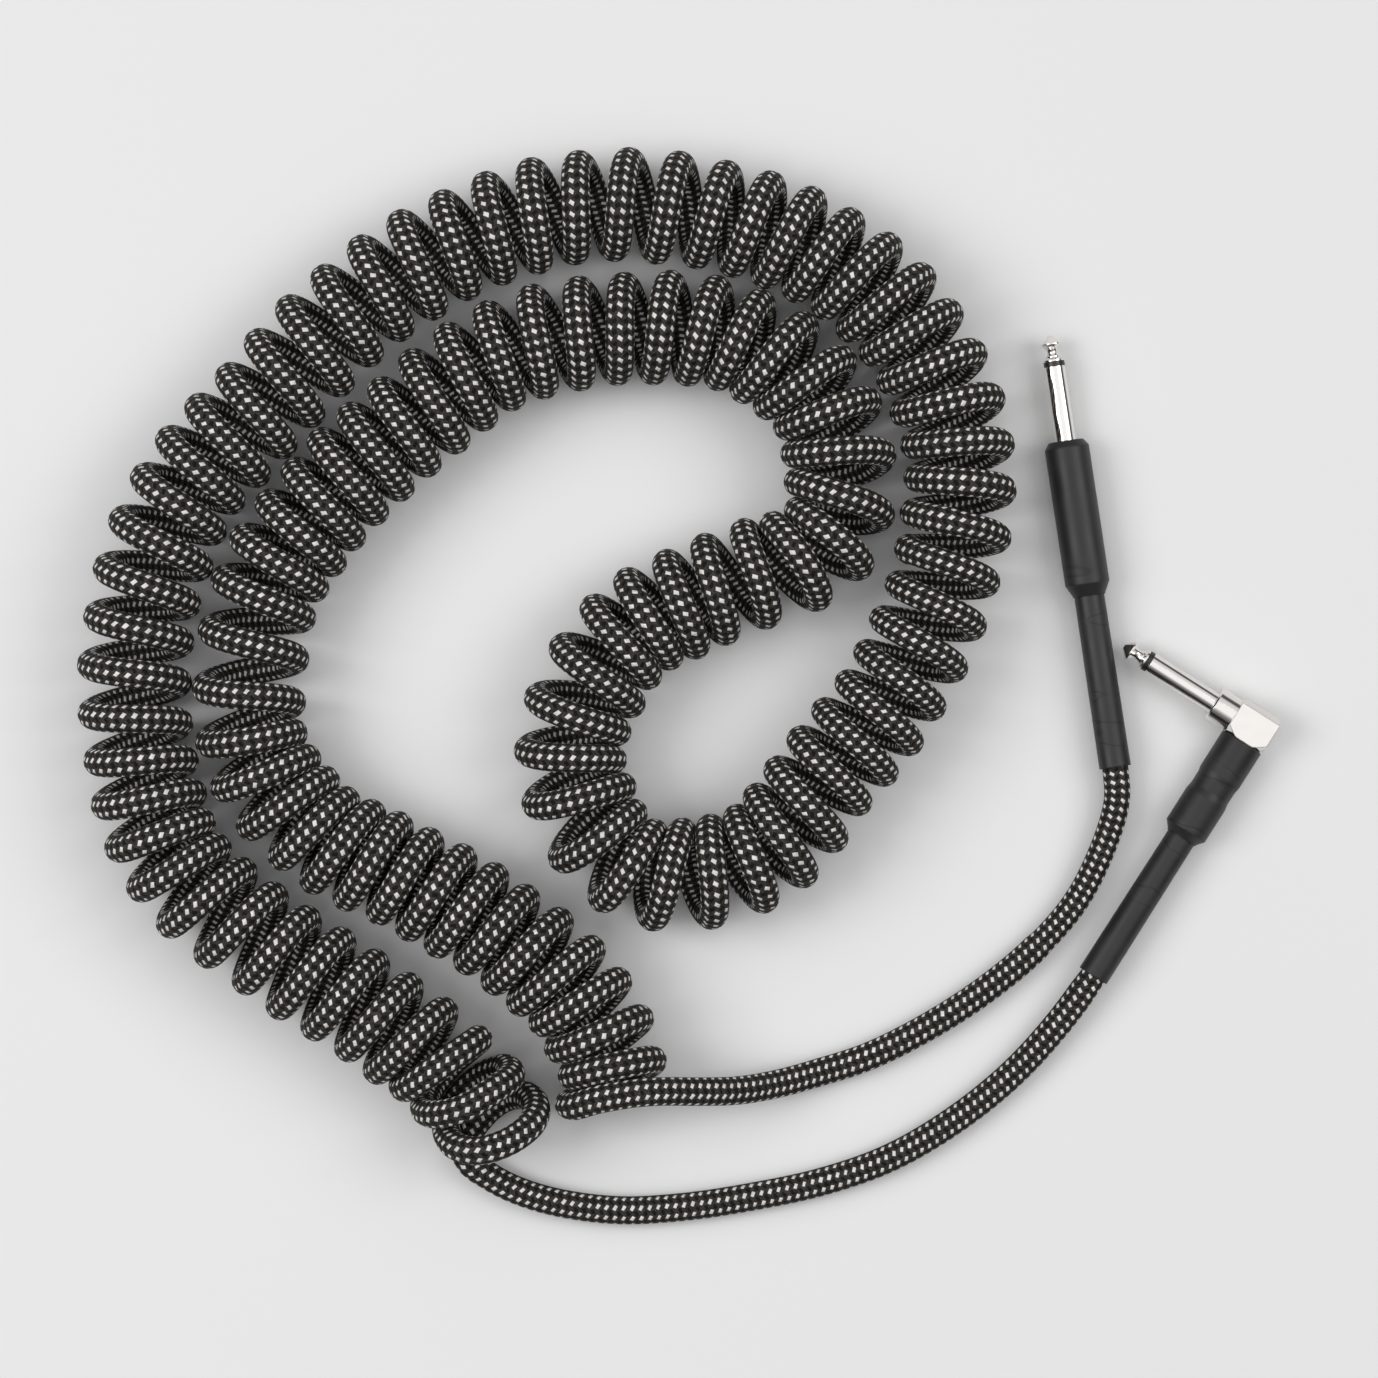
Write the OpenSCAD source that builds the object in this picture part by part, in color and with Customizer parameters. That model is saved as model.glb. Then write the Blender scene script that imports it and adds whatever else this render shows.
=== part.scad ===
// Curled instrument cable, in millimetres, +Z up, lying on the surface z = 0.
// A braided cord is curled into a long coil. A straight 6.35 mm phone plug ends one lead
// and a right-angle phone plug ends the other, each sealed in heat-shrink sleeves.
// The frame belongs to the two plugs: they lie along +Y, side by side about the origin.

/* [Cord] */
// Diameter of the braided cord in the curls
cord_d = 8.4; // [8:0.1:8.5]
// Diameter of the cord where it enters a plug
cord_end_d = 7.8; // [7:0.1:8]
// Width of the cord along the coil, where curls press it, as a share of its diameter
curl_squeeze = 0.92; // [0.85:0.01:0.95]
// Radius of the curls, to the middle of the cord
curl_r = 12.6; // [11:0.1:12.8]
// Number of curls
curls = 99; // [60:1:99]
// How far each curl leans along the coil, as a share of its pitch
curl_lean = 0.5; // [0:0.05:0.6]

/* [Shaft of both plugs] */
// Diameter of the shaft
shaft_d = 6.35; // [6.2:0.05:6.5]
// Length of the shaft, from its nose to the shoulder it stops at
shaft_len = 31.75; // [29:0.25:34]
// Length of the tip contact
tip_len = 7.75; // [7.5:0.25:9]
// Length of the insulating ring behind the tip contact
ring_len = 1.55; // [1:0.05:2.5]
// Diameter of the flat on the nose
nose_d = 1; // [0.8:0.1:1.8]
// Distance from the nose to the back of the rim where the tip contact is widest
crown_s = 2.7; // [2:0.1:3]
// Width of that rim
crown_w = 0.3; // [0.2:0.05:0.5]
// Distance from the nose to the front of the neck
neck_front_s = 4.1; // [3.6:0.1:4.5]
// Distance from the nose to the back of the neck
neck_back_s = 6.1; // [5.8:0.1:6.2]
// Diameter of the neck where it is narrowest
neck_d = 3.1; // [3:0.05:3.3]
// Diameter of the band behind the neck
band_d = 4.2; // [4:0.1:4.8]
// Width of that band, and of the land at the back of the tip contact
band_w = 0.5; // [0.3:0.1:0.6]
// Diameter of the centre rod
rod_d = 3; // [2.4:0.1:3]
// Diameter of the insulating tube round the centre rod
rod_tube_d = 4.6; // [4.2:0.1:5]

/* [Parts inside a plug] */
// Clearance between two pieces that fit into each other, on each side
fit_gap = 0.05; // [0.02:0.01:0.08]
// Thickness of the ground lug's ring
ground_ring_t = 0.6; // [0.4:0.1:0.8]
// Thickness of the insulating washer behind it
washer_t = 1.2; // [0.8:0.1:1.4]
// Diameter of that washer and of the ground lug's ring
washer_d = 7.2; // [6.6:0.1:7.8]
// Thickness of the tip lug
tip_lug_t = 0.5; // [0.3:0.1:0.6]
// Diameter of the tip lug's ring
tip_lug_d = 5.6; // [5.4:0.1:5.8]
// Diameter of the riveted head on the centre rod
rod_head_d = 4.2; // [3.6:0.1:4.3]
// Length of that riveted head
rod_head_len = 1; // [0.6:0.1:1.2]
// Width of the tip lug's strip
tip_strip_w = 2.4; // [1.6:0.1:2.6]
// Thickness of the ground lug's strip and of its cable clamp
ground_strip_t = 0.3; // [0.2:0.05:0.35]
// Width of the ground lug's strip
ground_strip_w = 1.8; // [1.2:0.1:2]
// Length of the cable clamp
clamp_len = 5; // [3:0.5:7]
// Width of the slot in the cable clamp
clamp_slot_w = 2; // [1:0.5:3]
// Diameter of the core inside the cord
core_d = 3.2; // [2.4:0.1:3.6]
// Length of core left bare between the cut jacket and the wire
core_len = 6; // [4:0.5:7]
// Diameter of the wire
wire_d = 1.2; // [0.8:0.1:1.4]
// Length of wire left bare
wire_len = 4; // [3:0.5:5]
// Diameter of the twisted shield
shield_d = 1; // [0.6:0.1:1.2]
// Length of the twisted shield
shield_len = 8; // [5:0.5:9]

/* [Barrels and sleeves] */
// Outer diameter of a barrel
barrel_d = 11.9; // [11.5:0.1:12.3]
// Wall of a barrel
barrel_wall = 0.9; // [0.6:0.05:0.95]
// Thickness of a barrel's end wall
end_wall = 2.5; // [1.5:0.1:3]
// Wall of the liner inside a barrel
liner_wall = 0.5; // [0.3:0.05:0.55]
// Outer diameter of a strain sleeve inside the barrel
sleeve_d = 9; // [8.8:0.1:9.4]
// Outer diameter of a strain sleeve at its open mouth
mouth_d = 9.5; // [9.2:0.1:10]
// Step that the cover's tail makes on the strain sleeve
tail_step = 0.35; // [0.2:0.05:0.5]

/* [Straight plug] */
// Length of the barrel, with the flange in front of it
straight_barrel_len = 42.9; // [38:0.1:46]
// Length of the flange
flange_len = 2; // [1.5:0.1:2.5]
// Diameter of the flange's front face
flange_front_d = 9.3; // [8.5:0.1:10]
// Length of the boss that the barrel fits over
boss_len = 6.2; // [5:0.1:7]
// Diameter of the cover
straight_cover_d = 13.3; // [12.9:0.1:13.5]
// Length of the cover's shoulder behind the barrel
straight_shoulder = 3.8; // [2.5:0.1:5]
// Length of the strain sleeve behind the cover
straight_sleeve_len = 51.7; // [45:0.1:56]
// Distance from the shoulder of the shaft to the cut end of the cord's jacket
straight_jacket_s = 26; // [24:0.5:30]

/* [Right-angle plug] */
// Diameter of the collar behind the shaft
collar_d = 10.6; // [9.6:0.1:11]
// Length of the collar
collar_len = 6.9; // [6:0.1:9]
// Width of the elbow along the shaft
elbow_w = 13; // [12.6:0.1:14]
// Height of the elbow
elbow_h = 10.6; // [10.2:0.1:12]
// Distance from the point where the plug's two axes cross to the elbow's far face
elbow_front = 6.3; // [6:0.1:7]
// Distance from that point to the front of the barrel
elbow_back = 5.3; // [5:0.1:6]
// Radius of the elbow's upright corners
elbow_corner_r = 1.5; // [0.5:0.1:2]
// Chamfer along the elbow's far edges
elbow_chamfer = 1.8; // [1:0.1:2.2]
// Thickness of the wall at the closed end of the elbow's bore
elbow_end_wall = 2.7; // [2:0.1:3]
// Length of the elbow's spigot, which the barrel fits over
tail_len = 4.7; // [3:0.1:6]
// Length of the barrel
angle_barrel_len = 31.1; // [29:0.1:34]
// Diameter of the cover
angle_cover_d = 13.4; // [12.9:0.1:13.8]
// Diameter of the cover's waist
angle_waist_d = 12.7; // [12.5:0.1:12.9]
// Length of the cover's shoulder behind the barrel
angle_shoulder = 2.7; // [2:0.1:4]
// Length of the strain sleeve behind the cover
angle_sleeve_len = 48.9; // [44:0.1:54]
// Distance from the point where the axes cross to the cut end of the cord's jacket
angle_jacket_s = 22; // [21:0.5:26]

/* [Hidden] */
$fn = 48;

// Colours
braid_colour = [0.24, 0.23, 0.22];
nickel = [0.76, 0.74, 0.71];
black_plastic = [0.07, 0.07, 0.07];
shrink_black = [0.15, 0.15, 0.15];
liner_white = [0.88, 0.87, 0.83];
fibre_brown = [0.45, 0.25, 0.14];
core_white = [0.93, 0.92, 0.88];
copper = [0.80, 0.47, 0.30];

// The coil's middle line, seen from above: one point every three of the longest coil's
// curls. The first and last points only steer the ends.
coil_route = [
    [-192, -170], [-207, -129], [-233, -106], [-263, -86], [-292, -62], [-303, -30], [-304, 9],
    [-292, 46], [-269, 74], [-242, 102], [-210, 123], [-174, 134], [-134, 132], [-101, 120],
    [-75, 97], [-61, 64], [-64, 28], [-78, -6], [-99, -33], [-122, -59], [-158, -61],
    [-176, -29], [-161, 5], [-132, 19], [-99, 37], [-99, 74], [-126, 96], [-161, 98],
    [-197, 90], [-225, 69], [-249, 46], [-267, 18], [-270, -24], [-252, -50], [-225, -64],
    [-198, -80], [-173, -101], [-162, -128.5], [-164, -138]];
// Places along that line, in points: where the curls start and end
coil_from = 1.36;
coil_to = len(coil_route) - 2;
// How far to each side, in points, the line is looked at to find which way the coil runs
coil_look = 2 / 3;
rings_per_curl = 7;
last_ring = curls * rings_per_curl;
// A curl is a polygon: its lowest side lies flat on the table.
side_turn = 180 / rings_per_curl;
coil_axis_z = (curl_r + cord_d / 2) * cos(side_turn);
// The cord's section in a curl, a hexagon: [along the coil, out from the curl's middle].
// flat_share is how wide its top and bottom sides are, as a share of its width.
flat_share = 0.52;
curl_section = [
    for (p = [
        [1, 0], [flat_share, 1], [-flat_share, 1],
        [-1, 0], [-flat_share, -1], [flat_share, -1]])
    [p[0] * curl_squeeze, p[1]] * cord_d / 2];

// The leads' middle lines, from the coil to the plug
straight_lead_route = [
    [-146, -128, 26.5], [-133, -128, 20], [-119, -127, 11.5], [-104, -123.5, 5.4],
    [-87, -118.5, 4.2], [-69, -109.5, 4.2], [-52, -98.5, 4.2], [-37, -86, 4.3],
    [-25, -72, 4.8], [-17, -56, 5.7], [-13, -42, 6.5]];
angle_lead_route = [
    [-205, -110.5, 25], [-202, -110.5, 18], [-203, -113.5, 10], [-207, -118, 4.6],
    [-212.5, -123.5, 4.2], [-218, -129.5, 7.5], [-220, -133.5, 15.5], [-215.5, -134.5, 24.5],
    [-207, -132, 28], [-198.5, -127, 25.5], [-193.5, -123.5, 18], [-195, -122.5, 10.5],
    [-201, -125.5, 7.5], [-206, -129.5, 7.8], [-210.5, -134.5, 9], [-213, -138.5, 12.5],
    [-212, -142, 18], [-208.5, -144.5, 24], [-202, -145, 27.5], [-194, -142, 26.5],
    [-187.5, -137.5, 22], [-186, -133, 15], [-188.5, -130.5, 8], [-194, -131, 4.2],
    [-199.5, -134.5, 4.2], [-204, -139, 4.2], [-207, -142.5, 4.2], [-208.5, -146.5, 4.2],
    [-206.5, -150.5, 4.2], [-201.5, -154, 4.2], [-193.5, -158, 4.2], [-181, -162, 4.2],
    [-162, -164.5, 4.2], [-142, -163.5, 4.2], [-122, -160.5, 4.2], [-101, -156, 4.2],
    [-81, -149, 4.2], [-62, -138, 4.2], [-45, -124.5, 4.3], [-32, -110.5, 5.2]];

// Where each lead enters its plug, and the plug's heading from there
straight_mouth = [-13.5, -32];
straight_heading = 98.6;
angle_mouth = [-20.1, -94.3];
angle_heading = 57.5;

// Fits shared by the pieces of both plugs
shaft_r = shaft_d / 2;
rod_r = rod_d / 2;
rod_tube_r = rod_tube_d / 2;
barrel_r = barrel_d / 2;
barrel_in_r = barrel_r - barrel_wall;
spigot_r = barrel_in_r - fit_gap;
liner_in_r = spigot_r - liner_wall;
jacket_r = cord_end_d / 2;
sleeve_in_r = jacket_r + fit_gap;
end_hole_r = sleeve_d / 2 + fit_gap;
cover_in_r = barrel_r + fit_gap;
ring_s = tip_len + ring_len;
// Rounding of the nose's edge, and how much wider the neck is at its ends
nose_edge = 0.3;
neck_dip = 0.3;
// Inner face of the ground lug's strip, measured from the cord's axis
strip_in = jacket_r + 2 * fit_gap;
// Inner face of the tip lug's strip where the wire lies on it
wire_seat = wire_d / 2 + fit_gap;

// Places along the straight plug, measured from its nose
straight_barrel_front = shaft_len + flange_len;
straight_boss_s = straight_barrel_front + boss_len;
straight_washer_s = straight_boss_s + ground_ring_t;
straight_lug_s = straight_washer_s + washer_t;
straight_head_s = straight_lug_s + tip_lug_t;
straight_barrel_back = shaft_len + straight_barrel_len;
straight_tail_s = straight_barrel_back + straight_shoulder;
straight_len = straight_tail_s + straight_sleeve_len;
straight_jacket = shaft_len + straight_jacket_s;
straight_axis_z = straight_cover_d / 2;

// Places on the right-angle plug: along its shaft from the nose, and along its barrel
// from the point where the two axes cross
shaft_reach = shaft_len + collar_len + elbow_w / 2;
angle_washer_s = shaft_reach - strip_in;
angle_boss_s = angle_washer_s - ground_ring_t;
angle_lug_s = angle_washer_s + washer_t;
angle_head_s = angle_lug_s + tip_lug_t;
angle_barrel_back = elbow_back + angle_barrel_len;
angle_tail_s = angle_barrel_back + angle_shoulder;
angle_len = angle_tail_s + angle_sleeve_len;
angle_axis_z = angle_cover_d / 2;
// Step between the liner's bore and the elbow's
bore_step = 0.15;
elbow_bore_r = liner_in_r + bore_step;
// Wall between the rear washer and the spigot pressed into the elbow
spigot_wall = 0.4;
elbow_spigot_r = washer_d / 2 + spigot_wall;
// Room between the centre rod's head and the end of the hole it stands in
head_room = 0.3;
spigot_hole_y = shaft_reach - angle_head_s - rod_head_len - head_room;
collar_edge = 0.4;
// The tip lugs' strips: room before the wire, length of the step, and its length with the seat
lug_room = 2;
lug_step = 1.5;
lug_reach = 5;
// Distance from the centre rod, and from its tube, to the strips that leave the shaft
rod_clear = 0.5;
tube_clear = 1;
// The covers' shoulders: radius of the rounding, and wall over the flange, as shares
shoulder_share = 0.3;
flange_share = 0.8;
cover_edge = 0.3;
// The waist of the right-angle plug's cover, as shares of the barrel, and its slopes
waist_share = [0.46, 0.58];
waist_slope = 2;

// ---- The coil ----

// Smooth curve through b and c, at share f of the way
function smooth(a, b, c, d, f) =
    0.5 * (2 * b + (c - a) * f + (2 * a - 5 * b + 4 * c - d) * f * f
        + (3 * b - a - 3 * c + d) * f * f * f);

// Point of the coil's middle line at place t
function line_at(t) =
    let (i = min(max(floor(t), 1), len(coil_route) - 3))
    smooth(coil_route[i - 1], coil_route[i], coil_route[i + 1], coil_route[i + 2], t - i);

// Angle round the curl at ring j, counted back from the top of the last curl
function ring_angle(j) = -j * 360 / rings_per_curl;

// Place along the middle line at ring j, with the curl's lean
function ring_place(j) =
    let (pitch = (coil_to - coil_from) / curls)
    coil_to - j / rings_per_curl * pitch - curl_lean * sin(ring_angle(j)) / (2 * PI) * pitch;

function unit(v) = v / norm(v);

// Which way the coil runs at ring j
function ring_ahead(j) =
    let (t = ring_place(j), v = unit(line_at(t + coil_look) - line_at(t - coil_look)))
    [v[0], v[1], 0];

// The coil's left side at ring j
function ring_left(j) = let (v = ring_ahead(j)) [-v[1], v[0], 0];

// Out from the middle of the curl at ring j
function ring_out(j) = sin(ring_angle(j)) * ring_left(j) + cos(ring_angle(j)) * [0, 0, 1];

// Middle of the cord at ring j
function ring_centre(j) =
    let (p = line_at(ring_place(j)))
    [p[0], p[1], coil_axis_z] + curl_r * ring_out(j);

// A section's points about a centre
function section_at(centre, across, out) =
    [for (p = curl_section) centre + p[0] * across + p[1] * out];

// The coil's two ends run straight for one cord diameter, from the tops of its end curls.
end_heading = ring_left(0);
start_heading = -ring_left(last_ring);
coil_end = ring_centre(0) + cord_d * end_heading;
coil_start = ring_centre(last_ring) + cord_d * start_heading;
coil_rings = concat(
    [section_at(coil_end, ring_ahead(0), ring_out(0))],
    [for (j = [0 : last_ring]) section_at(ring_centre(j), ring_ahead(j), ring_out(j))],
    [section_at(coil_start, ring_ahead(last_ring), ring_out(last_ring))]);

// One closed skin over a list of rings, in triangles
module skin(rings) {
    n = len(rings[0]);
    m = len(rings);
    sides = [
        for (i = [0 : m - 2], k = [0 : n - 1], half = [0, 1])
        let (a = i * n + k, b = i * n + (k + 1) % n)
        half == 0 ? [a, b + n, b] : [a, a + n, b + n]];
    first = [for (k = [1 : n - 2]) [0, k, k + 1]];
    last = [for (k = [1 : n - 2]) [0, k + 1, k] + (m - 1) * n * [1, 1, 1]];
    polyhedron([for (r = rings, p = r) p], concat(sides, first, last));
}

module coiled_cord() {
    color(braid_colour) skin(coil_rings);
}

// ---- The leads ----

// Direction of a line of points at point i
function heading_at(line, i) = unit(line[min(i + 1, len(line) - 1)] - line[max(i - 1, 0)]);

// A round tube of given radii along a line of points, square to heading at its first point
module tube(line, radii, heading, sides = 10) {
    skin([
        for (i = [0 : len(line) - 1])
        let (
            ahead = i == 0 ? heading : heading_at(line, i),
            across = unit(cross(ahead, [0, 0, 1])),
            up = cross(across, ahead))
        [for (k = [0 : sides - 1])
            line[i] + radii[i] * (cos(360 * k / sides) * up + sin(360 * k / sides) * across)]]);
}

// Place on the straight plug's axis, s behind its nose
function straight_at(s) = [
    straight_mouth[0] + (straight_len - s) * cos(straight_heading),
    straight_mouth[1] + (straight_len - s) * sin(straight_heading),
    straight_axis_z];

// Place on the right-angle plug's barrel axis, s behind the crossing of its axes
function angle_at(s) = [
    angle_mouth[0] + (angle_len - s) * cos(angle_heading),
    angle_mouth[1] + (angle_len - s) * sin(angle_heading),
    angle_axis_z];

// Radii that shrink evenly from the coil to the plug's mouth, the last point but one
function lead_radii(count) = [
    for (i = [0 : count - 1])
    let (f = min(i / (count - 2), 1))
    cord_d / 2 + f * (jacket_r - cord_d / 2)];

module straight_lead() {
    line = concat(
        [coil_end], straight_lead_route,
        [straight_at(straight_len), straight_at(straight_jacket)]);
    color(braid_colour) tube(line, lead_radii(len(line)), end_heading);
}

module angle_lead() {
    line = concat(
        [coil_start], angle_lead_route,
        [angle_at(angle_len), angle_at(angle_jacket_s)]);
    color(braid_colour) tube(line, lead_radii(len(line)), start_heading);
}

// ---- The coil's least gap to itself ----

// Middle of the cord at place x in rings, between two rings
function centre_at(x) =
    let (j = min(floor(x), last_ring - 1))
    ring_centre(j) + (x - j) * (ring_centre(j + 1) - ring_centre(j));

// Points on the skin about the middle of the side that follows ring j
function skin_points(j) =
    let (a = coil_rings[j + 1], b = coil_rings[j + 2], n = len(curl_section))
    [for (k = [0 : n - 1], e = [0, 1 / 3, 2 / 3], f = [0, 0.25, 0.5, 0.75, 1])
        let (p = a[k] + e * (a[(k + 1) % n] - a[k]), q = b[k] + e * (b[(k + 1) % n] - b[k]))
        p + f * (q - p)];

// Least distance between two lists of points
function least_between(ps, qs) = min([for (p = ps) min([for (q = qs) norm(p - q)])]);

// Pairs of sides that are not neighbours along the cord and whose middles come this close
close_share = 1.12;
close = cord_d * close_share;
side_middles = [for (j = [0 : last_ring - 1]) centre_at(j + 0.5)];
close_pairs = [
    for (i = [0 : last_ring - 4], j = [i + 3 : last_ring - 1])
    if (norm(side_middles[i] - side_middles[j]) < close) [i, j]];

function least_gap() =
    min([for (p = close_pairs) least_between(skin_points(p[0]), skin_points(p[1]))]);

// ---- Pieces that both plugs have, along +Z from the nose or from the axes' crossing ----

// A turned ring between two places, with its inner and outer radius
module turned_ring(from, to, inner, outer) {
    rotate_extrude() translate([inner, from]) square([outer - inner, to - from]);
}

// Tip contact with its rod and riveted head; head_s is where the head starts.
module tip_contact(head_s) {
    nose_r = nose_d / 2;
    crown_r = shaft_r - fit_gap / 2;
    neck_r = neck_d / 2;
    land_s = tip_len - band_w;
    neck_len = neck_back_s - neck_front_s;
    neck = [for (a = [0 : 30 : 180])
        [neck_r + neck_dip * (1 - sin(a)), neck_front_s + neck_len * a / 180]];
    color(nickel) rotate_extrude() polygon(concat(
        [
            [0, 0], [nose_r, 0], [nose_r + nose_edge, nose_edge / 2],
            [crown_r, crown_s - crown_w], [crown_r, crown_s]
        ],
        neck,
        [
            [band_d / 2, neck_back_s], [band_d / 2, neck_back_s + band_w],
            [shaft_r, land_s], [shaft_r, tip_len],
            [rod_r, tip_len], [rod_r, head_s], [rod_head_d / 2, head_s],
            [rod_head_d / 2, head_s + rod_head_len], [0, head_s + rod_head_len]
        ]));
}

module tip_insulator() {
    color(black_plastic) turned_ring(tip_len, ring_s, rod_r + fit_gap, shaft_r - fit_gap / 2);
}

// Tube round the centre rod, up to place back
module rod_insulator(back) {
    color(black_plastic) turned_ring(ring_s, back, rod_r + fit_gap, rod_tube_r);
}

// Barrel shell with an end wall that the strain sleeve passes through
module barrel(front, back) {
    color(nickel) rotate_extrude() polygon([
        [barrel_in_r, front], [barrel_r, front], [barrel_r, back], [end_hole_r, back],
        [end_hole_r, back - end_wall], [barrel_in_r, back - end_wall]]);
}

module liner(front, back) {
    color(liner_white) turned_ring(front, back, liner_in_r, spigot_r);
}

// Strain sleeve: a straight part in the barrel's end wall and the cover, then a slow flare
module strain_sleeve(front, tail, mouth) {
    color(shrink_black) rotate_extrude() polygon([
        [sleeve_in_r, front], [sleeve_d / 2, front], [sleeve_d / 2, tail],
        [mouth_d / 2, mouth], [sleeve_in_r, mouth]]);
}

// Outline of the cover's rounded shoulder, from the barrel down to the strain sleeve
function shoulder_outline(cover_r, back, tail) =
    let (tail_r = sleeve_d / 2 + fit_gap + tail_step, edge_r = (cover_r - tail_r) * shoulder_share)
    concat(
        [for (a = [0 : 15 : 60]) [cover_r - edge_r * (1 - cos(a)), back + edge_r * sin(a)]],
        [[tail_r, tail - tail_step], [tail_r, tail]]);

// The inside of a cover behind the barrel, from its tail forward
function cover_seat(back, tail) = [
    [end_hole_r, tail], [end_hole_r, back + fit_gap], [cover_in_r, back + fit_gap]];

// Core, left bare in front of the cut jacket
module core(jacket) {
    color(core_white) translate([0, 0, jacket - core_len]) cylinder(h = core_len, d = core_d);
}

// Wire, left bare in front of the core
module conductor(jacket) {
    color(copper) translate([0, 0, jacket - core_len - wire_len])
        cylinder(h = wire_len, d = wire_d);
}

// Twisted shield in front of the jacket; out points to the ground lug's strip.
module shield_tail(jacket, out) {
    reach = jacket_r - shield_d / 2;
    color(copper) translate([reach * out[0], reach * out[1], jacket - shield_len])
        cylinder(h = shield_len, d = shield_d);
}

// Cable clamp of a ground lug, round the jacket, with a slot away from its strip
module clamp_band(jacket, out) {
    front = jacket + ground_strip_t;
    slot_len = clamp_len + 2 * ground_strip_t;
    difference() {
        turned_ring(front, front + clamp_len, sleeve_in_r, strip_in + ground_strip_t);
        translate([-out[0] * jacket_r, -out[1] * jacket_r, front + clamp_len / 2])
            cube([clamp_slot_w, clamp_slot_w, slot_len], center = true);
    }
}

// ---- Straight plug ----

// Takes pieces that lie along +Z from the nose, with +X up, to the plug's place
module in_straight_plug() {
    translate(straight_at(0)) rotate([0, 0, straight_heading]) rotate([0, -90, 0]) children();
}

module straight_tip_contact() {
    in_straight_plug() tip_contact(straight_head_s);
}

module straight_tip_insulator() {
    in_straight_plug() tip_insulator();
}

module straight_rod_insulator() {
    in_straight_plug() rod_insulator(straight_washer_s);
}

module straight_ground_sleeve() {
    color(nickel) in_straight_plug() rotate_extrude() polygon([
        [rod_tube_r + fit_gap, ring_s], [shaft_r, ring_s], [shaft_r, shaft_len],
        [flange_front_d / 2, shaft_len], [barrel_r, straight_barrel_front],
        [spigot_r, straight_barrel_front], [spigot_r, straight_boss_s],
        [rod_tube_r + fit_gap, straight_boss_s]]);
}

// Ring behind the ground sleeve, strip along the liner and clamp round the jacket
module straight_ground_lug() {
    strip_len = straight_jacket + 2 * ground_strip_t - straight_boss_s;
    ring_r = strip_in + ground_strip_t / 2;
    color(nickel) in_straight_plug() {
        turned_ring(straight_boss_s, straight_washer_s, rod_tube_r + fit_gap, ring_r);
        translate([strip_in, -ground_strip_w / 2, straight_boss_s])
            cube([ground_strip_t, ground_strip_w, strip_len]);
        clamp_band(straight_jacket, [1, 0]);
    }
}

module straight_rear_washer() {
    color(fibre_brown) in_straight_plug()
        turned_ring(straight_washer_s, straight_lug_s, rod_r + fit_gap, washer_d / 2);
}

// Ring behind the washer, and a strip that steps in to the wire
module straight_tip_lug() {
    step_s = straight_jacket - core_len - wire_len - lug_room;
    ring_r = tip_lug_d / 2;
    seat = wire_seat + tip_lug_t;
    color(nickel) in_straight_plug() {
        turned_ring(straight_lug_s, straight_head_s, rod_r + fit_gap, ring_r);
        rotate([90, 0, 0]) linear_extrude(height = tip_strip_w, center = true) polygon([
            [-ring_r, straight_lug_s], [-ring_r, step_s], [-seat, step_s + lug_step],
            [-seat, step_s + lug_reach], [-wire_seat, step_s + lug_reach],
            [-wire_seat, step_s + lug_step], [tip_lug_t - ring_r, step_s],
            [tip_lug_t - ring_r, straight_lug_s]]);
    }
}

module straight_barrel() {
    in_straight_plug() barrel(straight_barrel_front, straight_barrel_back);
}

module straight_liner() {
    in_straight_plug() liner(straight_boss_s + fit_gap, straight_barrel_back - end_wall - fit_gap);
}

// Heat-shrink cover: over the flange's cone, the barrel and the front of the strain sleeve
module straight_barrel_cover() {
    cover_r = straight_cover_d / 2;
    wall = cover_r - cover_in_r;
    front_r = flange_front_d / 2 + fit_gap;
    color(shrink_black) in_straight_plug() rotate_extrude() polygon(concat(
        [
            [front_r, shaft_len], [front_r + wall * flange_share, shaft_len],
            [cover_r, straight_barrel_front]
        ],
        shoulder_outline(cover_r, straight_barrel_back, straight_tail_s),
        cover_seat(straight_barrel_back, straight_tail_s),
        [[cover_in_r, straight_barrel_front]]));
}

module straight_strain_sleeve() {
    in_straight_plug() strain_sleeve(straight_barrel_back - end_wall, straight_tail_s, straight_len);
}

module straight_core() {
    in_straight_plug() core(straight_jacket);
}

module straight_conductor() {
    in_straight_plug() conductor(straight_jacket);
}

module straight_shield_tail() {
    in_straight_plug() shield_tail(straight_jacket, [1, 0]);
}

// ---- Right-angle plug ----

// Takes pieces whose barrel runs to -X and whose shaft runs to +Y to the plug's place
module in_angle_plug() {
    translate(angle_at(0)) rotate([0, 0, angle_heading]) children();
}

// Takes pieces that lie along +Z from the nose to the right-angle plug's shaft
module in_angle_shaft() {
    in_angle_plug() translate([0, shaft_reach, 0]) rotate([90, 0, 0]) children();
}

// Takes pieces that lie along +Z from the axes' crossing to the right-angle plug's barrel
module in_angle_barrel() {
    in_angle_plug() rotate([0, -90, 0]) children();
}

module angle_tip_contact() {
    in_angle_shaft() tip_contact(angle_head_s);
}

module angle_tip_insulator() {
    in_angle_shaft() tip_insulator();
}

module angle_rod_insulator() {
    in_angle_shaft() rod_insulator(angle_washer_s);
}

// Shaft, collar and the spigot that is pressed into the elbow
module angle_ground_sleeve() {
    color(nickel) in_angle_shaft() rotate_extrude() polygon([
        [rod_tube_r + fit_gap, ring_s], [shaft_r, ring_s], [shaft_r, shaft_len],
        [collar_d / 2 - collar_edge, shaft_len], [collar_d / 2, shaft_len + collar_edge],
        [collar_d / 2, shaft_len + collar_len], [elbow_spigot_r, shaft_len + collar_len],
        [elbow_spigot_r, angle_boss_s], [rod_tube_r + fit_gap, angle_boss_s]]);
}

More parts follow.
